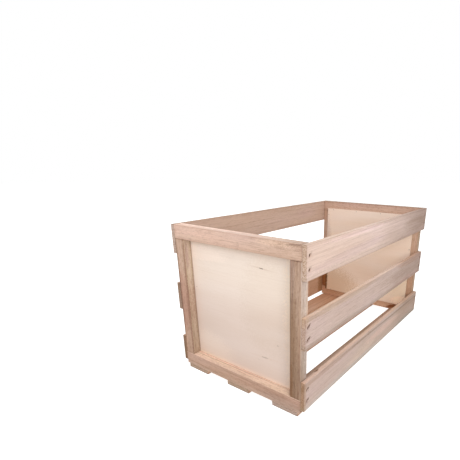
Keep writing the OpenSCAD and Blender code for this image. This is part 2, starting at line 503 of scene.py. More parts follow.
def placeInLog(tree, point, centre, grain, look):
    # the board's place in its log: X along the grain, with the pith on that axis
    tilt = Euler([math.radians(angle) for angle in look["tilt"]]).to_matrix()
    turn = tilt @ turnToGrain[grain]
    shift = Vector((0, *look["pith"])) - turn @ centre
    inputs = {"Vector": point, "Location": shift, "Rotation": turn.to_euler()}
    return addNode(tree, "ShaderNodeMapping", inputs).outputs[0]


def growWood(tree, log, look):
    rings = useGroup(tree, growthRings, {"Vector": log, "Ring Width": look["ringWidth"],
                                         "Wobble": look["wobble"], "Seed": look["seed"]})
    return rings, useGroup(tree, woodFibres, {"Vector": log, "Seed": look["seed"]})


def solidWood(name, low, high, look):
    material, tree, shader, point = startMaterial(name)
    centre, half = (low + high) / 2, (high - low) / 2
    grain = look["grain"]
    log = placeInLog(tree, point, centre, grain, look)
    cores = []
    for knot in look["knots"]:
        stretch = [woodFinish["knotStretch"] if axis == grain else 1.0 for axis in "XYZ"]
        found = useGroup(tree, grainKnot, {"Vector": point, "Centre": knot["place"], "Stretch": stretch,
                                           "Size": knot["size"], "Pull": knot["pull"]})
        swing = addNode(tree, "ShaderNodeCombineXYZ", {1: found["Swing"], 2: found["Swing"]}).outputs[0]
        log = vectorCalc(tree, "ADD", log, swing)
        cores.append((product(tree, found["Core"], knot["core"]), "poreTint"))
    rings, fibres = growWood(tree, log, look)
    edges = useGroup(tree, boardEdges, {"Vector": point, "Centre": centre, "Half Size": half,
                                        "Grain": axes[grain], "Narrow Side": axes[look["narrowSide"]],
                                        "Reach": look["edgeReach"]})

    def strength(effect, noise):
        start, full, least = strengths[effect]
        return rampUp(tree, noise, start, full, least * look[effect], look[effect])

    # the colour of the clear wood, which may change from the low end of the board to the high one
    along = "XYZ".index(grain)
    wander = woodFinish["drift"] * half[along]
    place = calc(tree, "ADD", split(tree, point)[along], spread(tree, fibres["Drift"], -wander, wander))
    far = rampUp(tree, place, low[along] + look["toneFrom"] * (high - low)[along], high[along])
    tones = (look["tone"], look.get("farTone", look["tone"]))
    colour = blendColours(tree, far, *[lighten(tone, woodFinish["clear"]) for tone in tones])
    if "acrossTint" in look:  # grows from the right side of the board to its left
        colour = tint(tree, rampUp(tree, split(tree, point)[1], low.y, high.y), colour, look["acrossTint"])

    line = calc(tree, "MULTIPLY", rings["Line"], strength("lines", rings["Ring Tone"]), clamp=True)
    pore = product(tree, fibres["Pores"], strength("pores", rings["Line"]))
    colour = addTints(tree, colour, look, [
        # painted light and shade: the narrow faces lighter or darker than the wide ones, for how light falls
        # on them
        (edges["Narrow"], "narrowTint"),
        (strength("warmth", fibres["Drift"]), "warmTint"),
        (strength("coolness", fibres["Drift"]), "coolTint"),
        (strength("streaks", fibres["Streak"]), "streakTint"),
        (product(tree, rings["Body"], look["bodies"]), "streakTint"),
        (line, "lineTint"),
        (strength("fibres", fibres["Fibre"]), "lineTint"),
        (strength("mottle", fibres["Speckle"]), "streakTint"),
        (strength("dashes", fibres["Dash"]), "lineTint"),
        (pore, "poreTint"),
        *cores])
    colour = addMarks(tree, point, colour, grain, look["marks"])

    # end grain drinks in more dirt and shows its pores as dots, and the border of a face is soiled
    colour = addTints(tree, colour, look, [
        (edges["End"], "endTone"),
        (product(tree, edges["End"], strength("endDots", fibres["Speckle"])), "endTint"),
        (product(tree, edges["Near End"], product(tree, fibres["Drift"], look["endSoil"])), "lineTint"),
        (product(tree, edges["Border"], strength("border", fibres["Streak"])), "streakTint")])

    # edges are rubbed pale in places, and a darker line lies in the grain beside them
    worn = product(tree, edges["Edge"], strength("edgeWear", fibres["Speckle"]))
    colour = blendColours(tree, worn, colour, lighten(look["tone"], woodFinish["worn"]))
    darkening = [(product(tree, edges["Arris"], strength("arris", fibres["Streak"])), "lineTint")]
    if "screwPlace" in look:
        inputs = {"Vector": point, "Centre": centre, "Screw Place": look["screwPlace"]}
        bruise = useGroup(tree, screwBruises, {**inputs, "Reach": look["bruiseReach"]})["Bruise"]
        darkening.append((product(tree, bruise, look["bruise"]), "poreTint"))
    colour = addTints(tree, colour, look, darkening)

    roughness = spread(tree, fibres["Fibre"], look["smooth"], look["rough"])
    roughness = calc(tree, "ADD", roughness, product(tree, line, woodFinish["lineGloss"]))
    heights = woodFinish["heights"]
    relief = weigh(tree, (fibres["Fibre"], heights["fibre"]), (fibres["Streak"], heights["streak"]),
                   (pore, heights["pore"]), (line, heights["line"]),
                   (product(tree, edges["End"], fibres["Speckle"]), heights["end"]))
    finishSurface(tree, shader, colour, roughness, relief, look["relief"], woodFinish["relief"])
    shader.inputs["Specular IOR Level"].default_value = woodFinish["shine"]
    return material


veneer = {
    "outerFace": (0.3 * mm, 1.0 * mm),  # out from the middle of the sheet
    "drift": (0.32, 0.68),  # this and the next four: where a noise starts and is full
    "streaks": (0.50, 0.78),
    "fibres": (0.45, 0.75),
    "core": (0.35, 0.65),
    "wear": (0.4, 0.6),
    "rag": 0.1 * mm,
    "heights": {"fibre": 0.5, "streak": 0.3, "pore": -0.5},
    "relief": 0.3 * mm,  # for a height of 1
}


def plyWood(name, low, high, look):
    material, tree, shader, point = startMaterial(name)
    centre, half = (low + high) / 2, (high - low) / 2
    # a peeled face veneer: the sheet lies nearly along the rings, so they show as broad soft figures
    rings, fibres = growWood(tree, placeInLog(tree, point, centre, "Y", look), look)
    edges = useGroup(tree, boardEdges, {"Vector": point, "Centre": centre, "Half Size": half,
                                        "Grain": axes["Y"], "Reach": look["edgeReach"]})

    # the outer face is the one away from the middle of the crate
    x, _, z = split(tree, point)
    outer = rampUp(tree, calc(tree, "ABSOLUTE", x), *[abs(centre.x) + depth for depth in veneer["outerFace"]])
    inner = calc(tree, "SUBTRACT", 1.0, outer)

    colour = blendColours(tree, rampUp(tree, fibres["Drift"], *veneer["drift"]), look["pale"], look["warm"])
    # painted light and shade: a sheet changes from its top to its foot and is shaded from the middle down,
    # and painted bounce light lifts the outer face just above the ledge
    colour = addTints(tree, colour, look, [
        (rampUp(tree, z, high.z, low.z), "lowTint"),
        (rampUp(tree, z, *look["middleHeights"]), "middleTint"),
        (product(tree, outer, rampUp(tree, z, *look["footHeights"])), "footTint")])
    pore = product(tree, fibres["Pores"], look["pores"])
    for amount, shade in (
            (product(tree, rings["Body"], look["bodies"]), "line"),
            (rampUp(tree, fibres["Streak"], *veneer["streaks"], 0.0, look["streaks"]), "line"),
            (rampUp(tree, fibres["Fibre"], *veneer["fibres"], 0.0, look["fibres"]), "line"),
            (pore, "pore")):
        colour = blendColours(tree, amount, colour, look[shade])

    # three plies: the edges show a darker core between two thin face veneers
    through = split(tree, fromCentre(tree, {"Vector": point, "Centre": centre}))[0]
    ragged = calc(tree, "ADD", through, spread(tree, fibres["Speckle"], -veneer["rag"], veneer["rag"]))
    core = rampUp(tree, ragged, look["coreHalf"] + veneer["rag"], look["coreHalf"] - veneer["rag"])
    coreTone = rampUp(tree, fibres["Speckle"], *veneer["core"])
    coreColour = blendColours(tree, coreTone, look["corePale"], look["coreDark"])
    colour = blendColours(tree, core, colour, coreColour)
    wear = rampUp(tree, fibres["Speckle"], *veneer["wear"], 0.0, look["edgeWear"])
    colour = blendColours(tree, product(tree, edges["Edge"], wear), colour, look["worn"])

    # patches of painted light and shade, on the outer face and on the inner one
    colour = addMarks(tree, point, colour, "Y", look["outerMarks"], outer)
    colour = addMarks(tree, point, colour, "Y", look["innerMarks"], inner)
    # painted shade in the crevice where the frame meets the outer face
    seam = useGroup(tree, panelSeamShade, {"Vector": point, "Centre": look["opening"], "Reach": look["seamReach"],
                                      "Half Opening": look["halfOpening"]})["Seam"]
    seam = product(tree, product(tree, seam, outer), look["seam"])
    colour = tint(tree, seam, colour, look["seamTint"])

    for y, z, length, width, slope, dark, trail in look["flecks"]:
        form = mark((centre.x, y, z), (0, -slope, 1), length, width)[0]
        fleck = useGroup(tree, darkFleck, {"Vector": point, **form})
        for part, amount, shade in (("Trail", trail, "line"), ("Fleck", dark, "fleck")):
            shown = product(tree, product(tree, fleck[part], outer), amount)
            colour = blendColours(tree, shown, colour, look[shade])

    roughness = spread(tree, fibres["Fibre"], look["smooth"], look["rough"])
    heights = veneer["heights"]
    relief = weigh(tree, (fibres["Fibre"], heights["fibre"]), (fibres["Streak"], heights["streak"]),
                   (pore, heights["pore"]))
    finishSurface(tree, shader, colour, roughness, relief, look["relief"], veneer["relief"])
    shader.inputs["Specular IOR Level"].default_value = woodFinish["shine"]
    return material


steel = {
    "blotchWaves": (420.0, 420.0),
    "blotches": (0.38, 0.64),
    "gritWaves": (2600.0, 2600.0),
    "relief": 0.3,
    "height": 0.1 * mm,
    "metallic": 0.9,
}


def fixingSteel(name, look):
    material, tree, shader, point = startMaterial(name)
    blotch = stretchedNoise(tree, point, steel["blotchWaves"], look["seed"], detail=3.0)
    grit = stretchedNoise(tree, point, steel["gritWaves"], look["seed"])
    colour = blendColours(tree, rampUp(tree, blotch, *steel["blotches"]), look["bare"], look["oxide"])
    roughness = spread(tree, grit, look["smooth"], look["rough"])
    finishSurface(tree, shader, colour, roughness, grit, steel["relief"], steel["height"])
    shader.inputs["Metallic"].default_value = steel["metallic"]
    return material


# Boards

boardShape = {
    "bevel": {"profile": 0.5, "affect": "EDGES"},
    "easedSteps": 3,
    "easedEndSteps": 2,
    "cuppingWidth": 0.09,
    "planingWidth": 0.018,
    "smoothAngle": 40,
}


def sawBoard(name, node, grain, cut):
    # a block at the board's place, eased, cut into short steps and planed a little unevenly
    low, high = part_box(node)
    size = high - low
    board = addBlock(name, (low + high) / 2, size)
    axis = "XYZ".index(grain)
    ends = (low[axis], high[axis])

    openInEdit(board, "EDGE")
    pick(board, "edges", lambda points: abs(points[0][axis] - points[1][axis]) > touch)
    bpy.ops.mesh.bevel(offset=cut["eased"], segments=boardShape["easedSteps"], **boardShape["bevel"])
    pick(board, "edges", lambda points: any(all(abs(p[axis] - end) < touch for p in points) for end in ends))
    bpy.ops.mesh.bevel(offset=cut["easedEnd"], segments=boardShape["easedEndSteps"], **boardShape["bevel"])

    for side in range(3):
        step = cut["step"] if side == axis else cut["crossStep"]
        count = max(1, round(size[side] / step))
        for i in range(1, count):
            place, normal = [0, 0, 0], [0, 0, 0]
            place[side] = low[side] + size[side] * i / count
            normal[side] = 1
            bpy.ops.mesh.select_all(action="SELECT")
            bpy.ops.mesh.bisect(plane_co=place, plane_no=normal)
    bpy.ops.object.mode_set(mode="OBJECT")

    for title in ("cupping", "planing"):
        texture = bpy.data.textures.get(title) or bpy.data.textures.new(title, "CLOUDS")
        texture.noise_scale = boardShape[title + "Width"]
        texture.noise_depth = 1
        settings = {"texture": texture, "texture_coords": "LOCAL", "strength": cut[title], "mid_level": 1.0}
        applyModifier(board, "DISPLACE", **settings)
    return board


def cutHoles(board, cutters):
    tool = joinPieces(cutters, "drill")
    applyModifier(board, "BOOLEAN", operation="DIFFERENCE", solver="EXACT", object=tool)
    discard(tool)


def finishBoard(board, node, material):
    makeActive(board)
    bpy.ops.object.shade_smooth_by_angle(angle=math.radians(boardShape["smoothAngle"]))
    applyModifier(board, "WEIGHTED_NORMAL", keep_sharp=True)
    board.data.materials.clear()
    board.data.materials.append(material)
    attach(board, "root")
    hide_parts(node)


# Screws: two through each end of every slat, the same places as in the CAD model

screws = {
    "inset": 10.5 * mm,  # from the crate's end faces
    "pitch": 25 * mm,
    "sink": 2.6 * mm,
    "headRadius": 3.4 * mm,
    "headEdge": [(0, 0.30 * mm), (0.05 * mm, 0.10 * mm), (0.16 * mm, 0.05 * mm)],  # depth, how much narrower
    "shankRadius": 1.75 * mm,
    "length": 25 * mm,
    "tip": 4.2 * mm,
    "sides": 28,
    "seatRim": [(1.0 * mm, 1.1 * mm), (0.0, 0.9 * mm), (-0.5 * mm, 0.4 * mm)],  # height, wider than the head
    "play": 0.25 * mm,
    "holeDepth": 12 * mm,
    "seatSides": 32,
    "crossLength": 3.7 * mm,
    "crossWidth": 1.0 * mm,
    "crossDepth": 1.5 * mm,
    "crossFloor": (0.45, 0.6, 1),  # size of the recess's floor, for that of its mouth
    "over": 1 * mm,
    "smoothAngle": 35,
}
screwX = farFace - screws["inset"]


def makeSeatCutter():
    head, shank, sink = screws["headRadius"], screws["shankRadius"], screws["sink"]
    hole = shank + screws["play"]
    rings = [(z, head + wider) for z, wider in screws["seatRim"]]
    rings += [(-sink, head), (-sink - head + shank, hole), (-screws["holeDepth"], hole)]
    return turnedPiece("seat cutter", rings, screws["seatSides"])


def makeScrew():
    head, shank, sink, tip = screws["headRadius"], screws["shankRadius"], screws["sink"], screws["tip"]
    point = -sink - screws["length"]
    rings = [(-sink - depth, head - narrower) for depth, narrower in screws["headEdge"]]
    rings += [(-sink - head + shank, shank), (point + tip, shank), (point, shank / 4)]
    screw = turnedPiece("screw", rings, screws["sides"])
    bars = []
    floorZ = -sink - screws["crossDepth"]
    for turn in (0, 90):
        depth = screws["crossDepth"] + screws["over"]
        size = (screws["crossLength"], screws["crossWidth"], depth)
        bar = addBlock("bar of the cross", (0, 0, floorZ + depth / 2), size)
        openInEdit(bar, "FACE")
        pick(bar, "faces", lambda points: all(abs(p.z - floorZ) < touch for p in points))
        bpy.ops.transform.resize(value=screws["crossFloor"], center_override=(0, 0, floorZ))
        bpy.ops.object.mode_set(mode="OBJECT")
        bar.data.transform(Matrix.Rotation(math.radians(turn), 4, "Z"))
        bars.append(bar)
    cross = joinPieces(bars, "cross")
    applyModifier(screw, "BOOLEAN", operation="DIFFERENCE", solver="EXACT", object=cross, use_self=True)
    discard(cross)
    return screw


def sideScrewPlaces(side, middleZ):
    # side is -1 for the right and 1 for the left; each place points a screw into the crate
    face = rightFace if side < 0 else crateHigh.y
    turn = Matrix.Rotation(math.radians(-90 * side), 4, "X")
    return [Matrix.Translation((end * screwX, face, middleZ + step * screws["pitch"] / 2)) @ turn
            for end in (-1, 1) for step in (-1, 1)]


def floorScrewPlaces(middleY):
    turn = Matrix.Rotation(math.radians(180), 4, "X")
    return [Matrix.Translation((end * screwX, middleY + step * screws["pitch"] / 2, crateLow.z)) @ turn
            for end in (-1, 1) for step in (-1, 1)]


seatCutter = makeSeatCutter()
screwPattern = makeScrew()
say("screw and its seat modelled")


# Slats

slatCut = {
    "eased": 0.9 * mm,
    "easedEnd": 0.35 * mm,
    "step": 16 * mm,
    "crossStep": 8 * mm,
    "cupping": 0.5 * mm,
    "planing": 0.16 * mm,
}
slatLook = {
    "grain": "X",
    "tilt": (0, 0, 0),
    "pith": (0.045, 0.095),
    "ringWidth": 0.0085,
    "wobble": 0.0035,
    "seed": 0.0,
    "tone": srgb(0.79, 0.69, 0.63),
    "warmTint": (0.92, 0.88, 0.82),
    "coolTint": (1.0, 0.96, 1.02),
    "streakTint": (0.76, 0.68, 0.62),
    "lineTint": (0.52, 0.41, 0.35),
    "poreTint": poreShade,
    "endTone": (0.95, 0.95, 0.90),
    "endTint": (0.70, 0.62, 0.53),
    "narrowSide": "Z",
    # painted light and shade on the narrow faces, times the colour
    "narrowTint": (1.12, 1.08, 1.02),
    "toneFrom": 0.0,
    "warmth": 0.8,
    "coolness": 0.8,
    "streaks": 0.50,
    "bodies": 0.15,
    "lines": 0.45,
    "fibres": 0.32,
    "dashes": 0.18,
    "mottle": 0.10,
    "pores": 0.45,
    "endDots": 1.0,
    "endSoil": 0.10,
    "arris": 0.35,
    "border": 0.35,
    "edgeReach": 3 * mm,
    "edgeWear": 0.20,
    "bruise": 0.12,
    "bruiseReach": 5.5 * mm,
    "crushed": 0.95,
    "smooth": 0.58,
    "rough": 0.74,
    "relief": 0.45,
    "knots": [],
    "marks": [],
}
rimShadowShift = Vector((0.3, 0, 2.0)) * mm  # from the middle of a screw
rimShadow = {  # a painted shadow inside the upper rim of each side screw's seat
    "across": (-0.55, 0, 1),
    "length": 6.2 * mm,
    "width": 3.5 * mm,
    "shade": (0.22, 0.15, 0.08),
}
footDarkening = {  # at the foot of each end of a floor slat
    "length": 5 * mm,
    "width": 2.6 * mm,
    "shade": (0.66, 0.70, 0.72),
    "dark": 0.8,
}
floorEnd = (1.02, 1.16, 1.30)
slats = {  # what sets each slat apart from slatLook
    "right_top_slat": {
        "seed": 1.3, "tilt": (0, 0.7, 0), "pith": (0.05, -0.20), "ringWidth": 0.0095, "lines": 0.62,
        "bodies": 0.10, "wobble": 0.005, "toneFrom": 0.35, "tone": srgb(0.875, 0.79, 0.75),
        "farTone": srgb(0.68, 0.59, 0.55), "narrowTint": (0.83, 0.81, 0.77), "border": 0.15, "dashes": 0.08,
        "fibres": 0.24, "lineTint": (0.56, 0.46, 0.43), "crushed": 0.24, "endTint": (0.60, 0.52, 0.42),
        "marks": [
            mark((-0.12, rightFace, 0.281), "Z", 0.3, 0.01, (0.91, 0.91, 0.9)),
            mark((-0.15, rightFace, 0.3), (-0.04, 0, 1), 0.2, 0.011, (0.92, 0.9, 0.93)),
            mark((-0.12, rightFace, 0.336), "Z", 0.15, 0.006, (1.12, 1.12, 1.2)),
            mark((0.24, rightFace, 0.31), "Z", 0.11, 0.018, (0.86, 0.84, 0.8)),
        ],
    },
    "right_middle_slat": {
        "seed": 4.1, "pith": (0.07, -0.11), "ringWidth": 0.006, "toneFrom": 0.50,
        "tone": srgb(0.788, 0.708, 0.676), "farTone": srgb(0.662, 0.573, 0.528),
        "endTone": (1.03, 1.02, 0.98), "narrowTint": (1.28, 1.27, 1.18), "border": 0.55,
        "lineTint": (0.56, 0.48, 0.43), "dashes": 0.16, "mottle": 0.28, "fibres": 0.42,
        "marks": [
            mark((-0.12, rightFace, 0.15), "Z", 0.33, 0.011, (0.84, 0.84, 0.8)),
            mark((0.225, rightFace, 0.152), "Z", 0.12, 0.013, (1.1, 1.06, 1.09)),
            mark((0.235, rightFace, 0.206), "Z", 0.12, 0.013, (0.91, 0.83, 0.74)),
            mark((-0.16, rightFace, 0.206), "Z", 0.16, 0.008, (0.92, 0.9, 0.78)),
            mark((nearFace, rightFace, 0.206), (0.4, 0, 1), 0.012, 0.014, (1.07, 1.05, 0.96)),
            mark((0, rightFace, 0.1483), (0, 1, 1), 0.6, 0.0017, (0.7, 1.00, 1.1)),
            mark((-0.038, rightFace, 0.1492), "Z", 0.0045, 0.0013, (0.3, 0.24, 0.2)),
        ],
    },
    "right_bottom_slat": {
        "seed": 7.7, "pith": (0.09, 0.03), "ringWidth": 0.005, "toneFrom": 0.68,
        "tone": srgb(0.755, 0.675, 0.63), "farTone": srgb(0.69, 0.60, 0.55), "endTone": (0.86, 0.78, 0.64),
        "narrowTint": (1.20, 1.13, 1.03), "border": 0.10, "lineTint": (0.56, 0.48, 0.43), "dashes": 0.12,
        "mottle": 0.20,
        "marks": [
            mark((-0.24, rightFace, 0.0735), (0, 1, 1), 0.24, 0.0062, (0.84, 0.79, 0.73)),
            mark((-0.266, -0.1658, 0.081), (0, 1, 1), 0.0075, 0.0034, (0.26, 0.16, 0.06)),
            mark((0.06, rightFace, 0.052), "Z", 0.12, 0.011, (1.2, 1.15, 1.18)),
            mark((0.24, rightFace, 0.064), "Z", 0.11, 0.014, (0.86, 0.81, 0.74)),
            mark((-0.318, rightFace, 0.05), "Z", 0.007, 0.04, (0.86, 0.78, 0.66), 0.8),
            mark((0, rightFace, 0.0175), (0, 1, 1), 0.6, 0.0014, (0.66, 0.86, 0.94)),
            mark((0, -0.165, 0.081), (0, 1, 1), 0.6, 0.0024, (0.66, 0.6, 0.52), 0.8),
            mark((0.1, rightFace, 0.0702), (0.014, 0, 1), 0.3, 0.0028, (0.68, 0.66, 0.63)),
            mark((-0.11, rightFace, 0.02), "Z", 0.24, 0.01, (0.98, 1.11, 1.17)),
            mark((-0.075, rightFace, 0.0385), "Z", 0.08, 0.012, (1.14, 1.16, 1.16)),
            mark((0.23, rightFace, 0.02), "Z", 0.12, 0.009, (0.76, 0.9, 0.94)),
        ],
    },
    "left_top_slat": {
        "seed": 11.2, "pith": (-0.06, 0.05), "endTone": (1.21, 1.36, 1.55),
        "narrowTint": (0.66, 0.58, 0.47),
    },
    "left_middle_slat": {"seed": 13.9, "pith": (-0.05, -0.07), "endTone": (0.66, 0.64, 0.58)},
    "left_bottom_slat": {
        "seed": 17.4, "pith": (-0.08, 0.06), "endTone": (0.49, 0.45, 0.36), "tone": srgb(0.83, 0.685, 0.58),
        "acrossTint": (0.84, 0.93, 1.02),
        # painted shade in the far corner, on the inner face
        "marks": [mark((0.300, 0.165, 0.050), "Y", 0.030, 0.005, (0.62, 0.48, 0.30), 0.85)],
    },
    "right_floor_slat": {
        "seed": 21.0, "pith": (0.06, 0.05), "narrowSide": "Y", "tone": srgb(0.76, 0.65, 0.58),
        "endTone": floorEnd,
        "marks": [
            mark((0, -0.0955, 0.0095), (0, 1, 1), 0.6, 0.0045, (0.62, 0.56, 0.45)),
            mark((-0.08, -0.103, 0.0095), "Y", 0.22, 0.01, (0.84, 0.86, 0.79)),
        ],
    },
    "middle_floor_slat": {
        "seed": 24.6, "pith": (-0.03, 0.07), "narrowSide": "Y", "tone": srgb(0.76, 0.64, 0.55),
        "endTone": floorEnd,
    },
    "left_floor_slat": {
        "seed": 28.1, "pith": (0.05, 0.06), "narrowSide": "Y", "toneFrom": 0.5,
        "tone": srgb(0.77, 0.645, 0.545), "farTone": srgb(0.73, 0.555, 0.44), "endTone": floorEnd,
    },
}


def makeSlat(node, changes):
    low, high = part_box(node)
    middle = (low + high) / 2
    board = sawBoard(node + "_board", node, "X", slatCut)
    look = {**slatLook, **changes}
    if node.endswith("floor_slat"):
        places = floorScrewPlaces(middle.y)
        look["screwPlace"] = (screwX, screws["pitch"] / 2, (high.z - low.z) / 2)
        marks = [mark((x, middle.y, low.z), "Z", **footDarkening) for x in (low.x, high.x)]
    else:
        places = sideScrewPlaces(-1 if node.startswith("right") else 1, middle.z)
        look["screwPlace"] = (screwX, (high.y - low.y) / 2, screws["pitch"] / 2)
        # a painted shadow inside the upper rim of each side screw's seat
        marks = [mark(place.translation + rimShadowShift, **rimShadow, dark=look["crushed"])
                 for place in places]
    look["marks"] = look["marks"] + marks
    cutHoles(board, [placeCopy(seatCutter, place) for place in places])
    finishBoard(board, node, solidWood(node + " wood", low, high, look))
    return places


screwPlaces = {"right_side_screws": [], "left_side_screws": [], "floor_screws": []}
for node, changes in slats.items():
    places = makeSlat(node, changes)
    group = "floor_screws" if node.endswith("floor_slat") else node.split("_")[0] + "_side_screws"
    screwPlaces[group] += places
say("slats made")


# The screws themselves, each turned to its own angle

screwLook = {
    "seed": 5.0,
    "bare": srgb(0.46, 0.34, 0.24),
    "oxide": srgb(0.29, 0.20, 0.13),
    "smooth": 0.35,
    "rough": 0.6,
}
screwSteel = fixingSteel("screw steel", screwLook)
chance = random.Random(12)
for node, places in screwPlaces.items():
    copies = []
    for place in places:
        turn = Matrix.Rotation(chance.uniform(0, math.pi / 2), 4, "Z")
        copies.append(placeCopy(screwPattern, place @ turn))
    group = joinPieces(copies, node + "_turned")
    bpy.ops.object.shade_smooth_by_angle(angle=math.radians(screws["smoothAngle"]))
    group.data.materials.clear()
    group.data.materials.append(screwSteel)
    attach(group, "root")
    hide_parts(node)
discard(screwPattern)
discard(seatCutter)
say("screws made")


# End frames: top and bottom rails with stiles between them

frameCut = {
    "eased": 0.8 * mm,
    "easedEnd": 0.3 * mm,
    "step": 14 * mm,
    "crossStep": 7 * mm,
    "cupping": 0.3 * mm,
    "planing": 0.12 * mm,
}
nails = {
    "inset": 12.5 * mm,  # from the sides of the end frame
    "pitch": 11 * mm,
    "headRadius": 1.4 * mm,
    "shankRadius": 0.9 * mm,
    "sink": 0.8 * mm,
    "length": 50 * mm,
    "holeRim": [(1 * mm, 0.15 * mm), (0.0, 0.1 * mm)],  # height, wider than the head
    "headBottom": (0.6 * mm, 0.65 * mm),  # below the top of the head
    "sides": 20,
}
ledgeBevel = {  # along the inner top edge of a bottom rail, between the stiles
    "depth": 6.0 * mm,
    "height": 1.0 * mm,
    "over": 1.0 * mm,
}
railLook = {
    **slatLook,
    "grain": "Y",
    "pith": (0.05, 0.06),
    "ringWidth": 0.006,
    "tone": srgb(0.83, 0.72, 0.65),
    "lines": 0.25,
    "streaks": 0.42,
    "dashes": 0.42,
    "mottle": 0.28,
    "edgeWear": 0.30,
    "narrowTint": (1.08, 1.06, 1.03),
}
stileLook = {
    **railLook,
    "grain": "Z",
    "narrowSide": "Y",
    "pith": (0.06, 0.04),
    "tone": srgb(0.78, 0.65, 0.57),
}
frameBoards = {
    # a tone is at a rail's right end or a stile's foot, and the far tone at the other end
    "front_top_rail": {
        "seed": 31.5, "tone": srgb(0.82, 0.715, 0.65), "farTone": srgb(0.92, 0.80, 0.745),
        "narrowTint": (0.97, 0.97, 0.96), "dashes": 0.32,
        "knots": [
            {"place": (nearFace, -0.118, 0.332), "size": 0.008, "pull": 0.006, "core": 0.18},
            {"place": (-0.309, -0.152, rim), "size": 0.026, "pull": 0.003, "core": 0.26},
        ],
        "marks": [
            # a painted highlight along the top face
            mark((-0.3, 0.08, rim), "X", 0.14, 0.005, (1.34, 1.46, 1.54)),
            mark((-0.299, -0.13, rim), "X", 0.09, 0.005, (0.7, 0.74, 0.68)),
            mark((nearFace, -0.11, 0.336), "Z", 0.05, 0.0055, (1.16, 1.18, 1.16)),
            mark((nearFace, 0.11, 0.319), "Z", 0.06, 0.006, (0.93, 0.94, 0.92)),
            mark((-0.3135, 0, rim), "X", 0.2, 0.0045, (0.92, 0.95, 0.96)),
            mark((nearFace, -0.15, 0.3395), (0, 0.12, 1), 0.022, 0.0016, dark=0.55),
        ],
    },
    "front_bottom_rail": {
        "seed": 34.2, "tone": srgb(0.75, 0.625, 0.555), "farTone": srgb(0.775, 0.65, 0.575),
        "narrowTint": (1.40, 1.58, 1.62), "streaks": 0.75, "lines": 0.6, "ringWidth": 0.0075,
        "wobble": 0.006,
        "marks": [
            # painted light and shade on the ledge in front of the panel
            mark((-0.2995, 0, 0.039), "X", 0.3, 0.004, (1.16, 1.18, 1.2)),
            mark((-0.307, 0.11, 0.0405), "X", 0.1, 0.0035, (1.06, 1.12, 1.06)),
            mark((-0.3085, -0.125, 0.0405), "Z", 0.1, 0.0035, (1.07, 1.11, 1.11)),
            mark((-0.3145, 0.025, 0.0405), "X", 0.08, 0.0045, (0.93, 0.94, 0.94)),
            mark((nearFace, 0, 0.0125), "Z", 0.3, 0.007, (1.05, 1.12, 1.16)),
            mark((nearFace, -0.115, 0.0185), "Z", 0.06, 0.013, (0.85, 0.86, 0.88)),
            # a painted shade line along the front edge of the ledge bevel
            mark((-0.3043, 0, 0.0395), (1, 0.019, 0), 0.18, 0.0011, dark=0.65),
        ],
    },
    "front_right_stile": {
        "seed": 37.8, "tone": srgb(0.627, 0.518, 0.438), "farTone": srgb(0.745, 0.649, 0.583),
        "acrossTint": (0.90, 0.85, 0.80), "narrowTint": (1.20, 1.36, 1.52), "streaks": 0.90, "fibres": 0.55,
        "wobble": 0.005,
        "marks": [
            mark((nearFace, -0.145, 0.13), "Y", 0.15, 0.013, (0.82, 0.79, 0.71)),
            mark((-0.299, -0.165, 0.176), "X", 0.26, 0.0075, (1.1, 1.18, 1.25)),
            mark((nearFace, -0.14, 0.176), (1, -1, 0), 0.2, 0.003, dark=0.3),
            mark((nearFace, -0.143, 0.29), "Y", 0.08, 0.008, (1.03, 1.08, 1.2)),
            mark((nearFace, -0.141, 0.075), "Y", 0.05, 0.007, (0.88, 0.74, 0.6)),
            mark((nearFace, -0.162, 0.176), "Y", 0.08, 0.005, (1.12, 1.14, 1.15)),
            mark((-0.3065, -0.165, 0.095), "X", 0.065, 0.015, (0.96, 1.00, 1.04)),
            mark((-0.3, -0.165, 0.246), "X", 0.045, 0.005, (1.12, 1.06, 0.96)),
        ],
    },
    "front_left_stile": {
        "seed": 41.1, "tone": srgb(0.745, 0.625, 0.55), "farTone": srgb(0.83, 0.72, 0.65), "streaks": 0.75,
        "narrowTint": (0.90, 1.02, 1.02),
        "marks": [
            mark((nearFace, 0.14, 0.176), (1, 1, 0), 0.2, 0.0036, (0.4, 0.24, 0.17), 0.7),
            # painted shade on the inner side, next to the panel
            mark((-0.2985, 0.14, 0.176), "X", 0.2, 0.0042, dark=0.42),
            mark((nearFace, 0.155, 0.17), "Y", 0.075, 0.018, (0.86, 0.72, 0.7), 0.85),
            mark((nearFace, 0.1645, 0.16), "Y", 0.18, 0.0045, (0.3, 0.2, 0.11), 0.62),
            mark((nearFace, 0.164, 0.06), "Y", 0.06, 0.006, (1.18, 1.16, 1.12)),
            mark((-0.3115, 0.14, 0.277), "X", 0.035, 0.0045, (0.84, 0.76, 0.83)),
        ],
    },
    "back_top_rail": {"seed": 44.9, "tone": srgb(0.79, 0.67, 0.60), "narrowTint": (0.56, 0.50, 0.40)},
    "back_bottom_rail": {
        "seed": 47.3, "tone": srgb(0.92, 0.75, 0.63), "farTone": srgb(0.80, 0.625, 0.50),
        "knots": [{"place": (farFace, 0.06, 0.024), "size": 0.005, "pull": 0.006, "core": 0.5}],
        # painted shade in the low corner by the right stile
        "marks": [mark((0.298, -0.105, 0.020), (1, 0.38, 1), 0.022, 0.0065, (0.38, 0.22, 0.11))],
    },
    "back_right_stile": {
        "seed": 51.6, "tone": srgb(0.74, 0.595, 0.49), "farTone": srgb(0.79, 0.67, 0.585),
        "narrowTint": (0.80, 0.83, 0.77),
    },
    "back_left_stile": {
        "seed": 54.4, "tone": srgb(0.76, 0.64, 0.57),
        # painted shade in the corner beside the panel
        "marks": [mark((0.298, 0.1565, 0.100), "X", 0.085, 0.005, (0.60, 0.33, 0.13))],
    },
}


